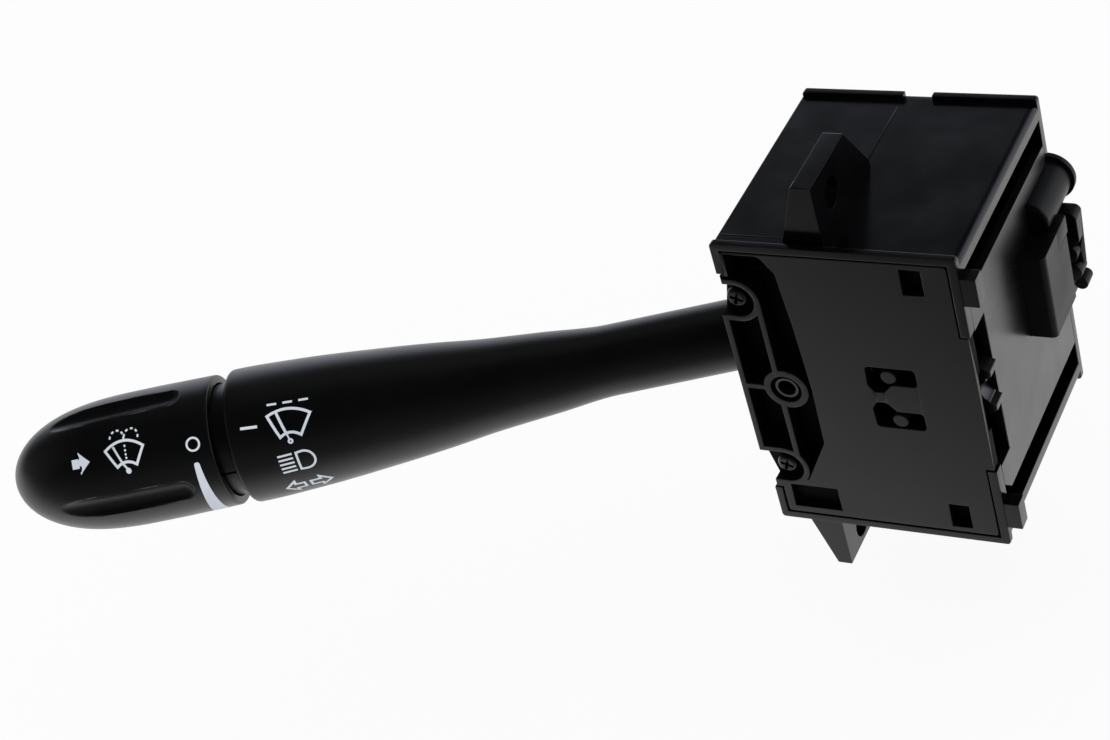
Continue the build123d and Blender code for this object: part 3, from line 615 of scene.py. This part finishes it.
def make_lever_marks(ink):
    """Printed signs on the lever: index, intermittent wiper, main beam and direction arrows."""
    bm = bmesh.new()
    skin = lever_radius
    # Index, and the wiper sign's dashes, screen, blade and hub
    ribbon(bm, along([(128.4, 11.6), (124.6, 11.25)]), 0.62, skin)
    for s, arc in ((121.85, 15.45), (118.3, 15.15), (114.75, 14.87)):
        ribbon(bm, along([(s, arc), (s - 2.15, arc - 0.2)]), 0.48, skin)
    screen_symbol(bm, ((122.1, 12.9), (112.55, 11.6), (115.4, 7.35), (120.05, 7.75)), (1.35, 0.86), 0.6, skin)
    ribbon(bm, along([(120.05, 13.3), (118.65, 8.6)]), 0.6, skin)
    ribbon(bm, along([(118.65, 8.7), (118.2, 7.0)]), 0.35, skin)
    ribbon(bm, arc_path((118.05, 6.5), 0.42, 0, 330, 11), 0.42, skin, closed=True)
    # Main beam: five rays and the lamp
    for k in range(5):
        arc = 3.55 - 1.07 * k
        ribbon(bm, along([(121.95, arc), (118.65, arc + 0.05)]), 0.46, skin)
    lamp = [(117.75, 3.6)] + arc_path((116.3, 1.45), 2.3, 90, -90, 16) + [(117.75, -0.75)]
    ribbon(bm, lamp + along([(117.75, -0.75), (117.75, 3.6)])[1:-1], 0.5, skin, closed=True)
    arrow_outline(bm, 123.0, 118.75, -6.4, 2.3, skin)
    arrow_outline(bm, 112.7, 117.3, -6.4, 2.4, skin)
    finish_mesh("lever_marks", bm, "lever", ink)


def make_knob_marks(ink):
    """Printed signs on the knob: push arrow, washer, off ring and the rising speed band."""
    bm = bmesh.new()
    skin = knob_radius
    # Push arrow: its shaft and its head
    ribbon(bm, along([(167.85, 9.9), (166.15, 9.9)]), 1.95, skin)
    head = [(166.15, 9.9), (165.5, 9.9), (164.8, 9.9), (164.1, 9.9), (163.6, 9.9)]
    ribbon(bm, head, [4.6, 3.35, 2.1, 0.95, 0.15], skin)
    # Washer: screen, blade, hub and the two sprays of drops
    screen_symbol(bm, ((159.6, 11.3), (150.8, 11.25), (152.9, 7.75), (157.4, 7.8)), (1.6, 0.78), 0.56, skin)
    ribbon(bm, along([(157.7, 11.9), (156.0, 8.3), (155.2, 7.1)]), 0.45, skin)
    dot_symbol(bm, (155.1, 6.75), 0.62, skin)
    for arc in (11.75, 10.85, 10.05, 9.35):
        dot_symbol(bm, (155.0, arc), 0.24, skin)
    for centre in (156.65, 153.35):
        for first in (180, 136, 92, 48, 4):
            ribbon(bm, arc_path((centre, 13.55), 1.6, first, first - 22, 3), 0.42, skin)
    # Off ring, and the band that widens with the speed
    ribbon(bm, arc_path((139.6, 10.3), 1.42, 0, 345, 23), 0.46, skin, closed=True)
    band = [(139.8, 6.2), (139.8, 6.05)] + [(139.8 + 0.00035 * k * k, 5.7 - k * 0.5) for k in range(38)]
    ribbon(bm, band, [0.5, 1.0] + [1.25 + 0.066 * k for k in range(38)], skin)
    finish_mesh("knob_marks", bm, "knob", ink)


def either(tree, first, second):
    """1 where one of two 0 or 1 values is 1."""
    node = tree.nodes.new("ShaderNodeMath")
    node.operation = "MAXIMUM"
    tree.links.new(first, node.inputs[0])
    tree.links.new(second, node.inputs[1])
    return node.outputs[0]


def ramp_of(tree, value, stops, tint=(1, 1, 1)):
    """A colour that follows a value through stops of position and level."""
    ramp = tree.nodes.new("ShaderNodeValToRGB")
    elements = ramp.color_ramp.elements
    for k, (position, level) in enumerate(stops):
        stop = elements[k] if k < 2 else elements.new(position)
        stop.position = position
        stop.color = (*(level * part for part in tint), 1)
    tree.links.new(value, ramp.inputs["Fac"])
    return ramp.outputs["Color"]


def make_stage():
    """A plain white floor that keeps the soft shadow. In mirror rays it dims to the front."""
    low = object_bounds()[0]
    bm = bmesh.new()
    height = low.z - FLOOR_DROP
    bm.faces.new([bm.verts.new((x * FLOOR_HALF, y * FLOOR_HALF, height))
                  for x, y in ((-1, -1), (1, -1), (1, 1), (-1, 1))])
    mesh = bpy.data.meshes.new("floor")
    bm.to_mesh(mesh)
    bm.free()
    floor = bpy.data.objects.new("floor", mesh)
    bpy.context.scene.collection.objects.link(floor)
    material = bpy.data.materials.new("white_floor")
    material.use_nodes = True
    tree = material.node_tree
    tree.nodes.clear()
    out = tree.nodes.new("ShaderNodeOutputMaterial")
    paper = tree.nodes.new("ShaderNodeBsdfDiffuse")
    paper.inputs["Color"].default_value = (0.9, 0.9, 0.9, 1)
    rays = tree.nodes.new("ShaderNodeLightPath")
    where = tree.nodes.new("ShaderNodeTexCoord")
    ahead = tree.nodes.new("ShaderNodeVectorMath")
    ahead.operation = "DOT_PRODUCT"
    ahead.inputs[1].default_value = TO_DRIVER * 2
    tree.links.new(where.outputs["Object"], ahead.inputs[0])
    dimmed = ramp_of(tree, ahead.outputs["Value"], FLOOR_LEVELS)
    shade = tree.nodes.new("ShaderNodeMix")
    shade.data_type = "RGBA"
    tree.links.new(rays.outputs["Is Glossy Ray"], shade.inputs["Factor"])
    # Inputs 6 and 7 are the two colours of a Mix node
    shade.inputs[6].default_value = (1, 1, 1, 1)
    tree.links.new(dimmed, shade.inputs[7])
    glow = tree.nodes.new("ShaderNodeEmission")
    tree.links.new(shade.outputs[2], glow.inputs["Color"])
    mix = tree.nodes.new("ShaderNodeMixShader")
    share = tree.nodes.new("ShaderNodeMath")
    share.operation = "MULTIPLY"
    share.inputs[1].default_value = FLOOR_GLOW
    seen = either(tree, rays.outputs["Is Camera Ray"],
                  either(tree, rays.outputs["Is Glossy Ray"], rays.outputs["Is Transmission Ray"]))
    tree.links.new(seen, share.inputs[0])
    tree.links.new(share.outputs[0], mix.inputs["Fac"])
    tree.links.new(paper.outputs[0], mix.inputs[1])
    tree.links.new(glow.outputs[0], mix.inputs[2])
    tree.links.new(mix.outputs[0], out.inputs["Surface"])
    floor.data.materials.append(material)


def make_world():
    """Even light, a white background, and in mirror rays a room with one white wall and a dark ceiling."""
    world = bpy.data.worlds.new("studio")
    bpy.context.scene.world = world
    world.use_nodes = True
    tree = world.node_tree
    tree.nodes.clear()
    out = tree.nodes.new("ShaderNodeOutputWorld")
    even = tree.nodes.new("ShaderNodeBackground")
    even.inputs["Color"].default_value = (0.97, 0.985, 1, 1)
    even.inputs["Strength"].default_value = 0.9
    white = tree.nodes.new("ShaderNodeBackground")
    white.inputs["Color"].default_value = (1, 1, 1, 1)
    room = tree.nodes.new("ShaderNodeBackground")
    rays = tree.nodes.new("ShaderNodeLightPath")
    where = tree.nodes.new("ShaderNodeTexCoord")
    parts = tree.nodes.new("ShaderNodeSeparateXYZ")
    tree.links.new(where.outputs["Generated"], parts.inputs[0])
    wall = ramp_of(tree, parts.outputs["Z"], WALL_LEVELS, WALL_TINT)
    side = tree.nodes.new("ShaderNodeMapRange")
    side.interpolation_type = "SMOOTHSTEP"
    for name, value in (("From Min", -0.15), ("From Max", 0.4), ("To Min", 0.06), ("To Max", 1.0)):
        side.inputs[name].default_value = value
    # The white wall stands at the back, a little to the right
    rear = tree.nodes.new("ShaderNodeVectorMath")
    rear.operation = "DOT_PRODUCT"
    rear.inputs[1].default_value = (0.3, 0.954, 0)
    tree.links.new(where.outputs["Generated"], rear.inputs[0])
    tree.links.new(rear.outputs["Value"], side.inputs["Value"])
    tree.links.new(wall, room.inputs["Color"])
    tree.links.new(side.outputs["Result"], room.inputs["Strength"])
    glossy = tree.nodes.new("ShaderNodeMixShader")
    tree.links.new(rays.outputs["Is Glossy Ray"], glossy.inputs["Fac"])
    tree.links.new(even.outputs[0], glossy.inputs[1])
    tree.links.new(room.outputs[0], glossy.inputs[2])
    mix = tree.nodes.new("ShaderNodeMixShader")
    seen = either(tree, rays.outputs["Is Camera Ray"], rays.outputs["Is Transmission Ray"])
    tree.links.new(seen, mix.inputs["Fac"])
    tree.links.new(glossy.outputs[0], mix.inputs[1])
    tree.links.new(white.outputs[0], mix.inputs[2])
    tree.links.new(mix.outputs[0], out.inputs["Surface"])


def softbox(name, place, target, size, power, tint=(1, 1, 1)):
    """A large soft lamp that looks at a place."""
    lamp = bpy.data.lights.new(name, "AREA")
    lamp.shape = "RECTANGLE"
    lamp.size, lamp.size_y = size
    lamp.energy = power
    lamp.color = tint
    holder = bpy.data.objects.new(name, lamp)
    bpy.context.scene.collection.objects.link(holder)
    holder.location = place
    holder.rotation_mode = "QUATERNION"
    holder.rotation_quaternion = (Vector(target) - Vector(place)).to_track_quat("-Z", "Y")


def make_lamps():
    """Four weak soft lamps, which only lift the edges: the even light does the rest."""
    middle = (-0.08, -0.03, -0.04)
    softbox("top_box", (-0.1, 0.3, 0.9), middle, (0.9, 0.6), 0.15)
    softbox("left_box", (-1.0, -0.5, 0.4), middle, (0.7, 0.9), 0.15)
    softbox("right_box", (0.9, 0.1, 0.3), middle, (0.6, 0.8), 0.3, (0.93, 0.96, 1.0))
    softbox("low_box", (-0.2, -0.7, -0.05), middle, (1.0, 0.25), 0.05)


def make_camera():
    """The photograph's own viewpoint, solved from the switch block's corners."""
    data = bpy.data.cameras.new("photo_camera")
    data.sensor_width = 36.0
    data.lens = 76.63
    camera = bpy.data.objects.new("photo_camera", data)
    bpy.context.scene.collection.objects.link(camera)
    right = Vector((0.87054, 0.41958, -0.25711))
    up = Vector((-0.08763, 0.64632, 0.75802))
    back = Vector((0.48422, -0.63736, 0.59942))
    turn = Matrix((right, up, back)).transposed()
    camera.matrix_world = Matrix.Translation(at(204.88, -331.03, 310.34)) @ turn.to_4x4()
    bpy.context.scene.camera = camera


bpy.context.scene.view_settings.view_transform = "Standard"
materials = make_materials()
dress_nodes(materials)
eased("housing", 0.22, materials)
# The cover's cored areas get painted shade
eased("cover", 0.18, materials, move=trimmed_horns, recess_shade_mask=in_recess)
eased("contact_carrier", 0.2, materials)
eased("connector_shroud", 0.2, materials, materials["connector"], raised_ribs)
eased("cancel_pawl", 0.2, materials)
eased("guide_tube", 0.15, materials, materials["connector"])
make_lever(materials)
make_knob(materials)
make_lever_marks(materials["ink"])
make_knob_marks(materials["ink"])
make_parting_lines(materials)
make_fillings(materials)
make_stage()
make_world()
make_lamps()
make_camera()
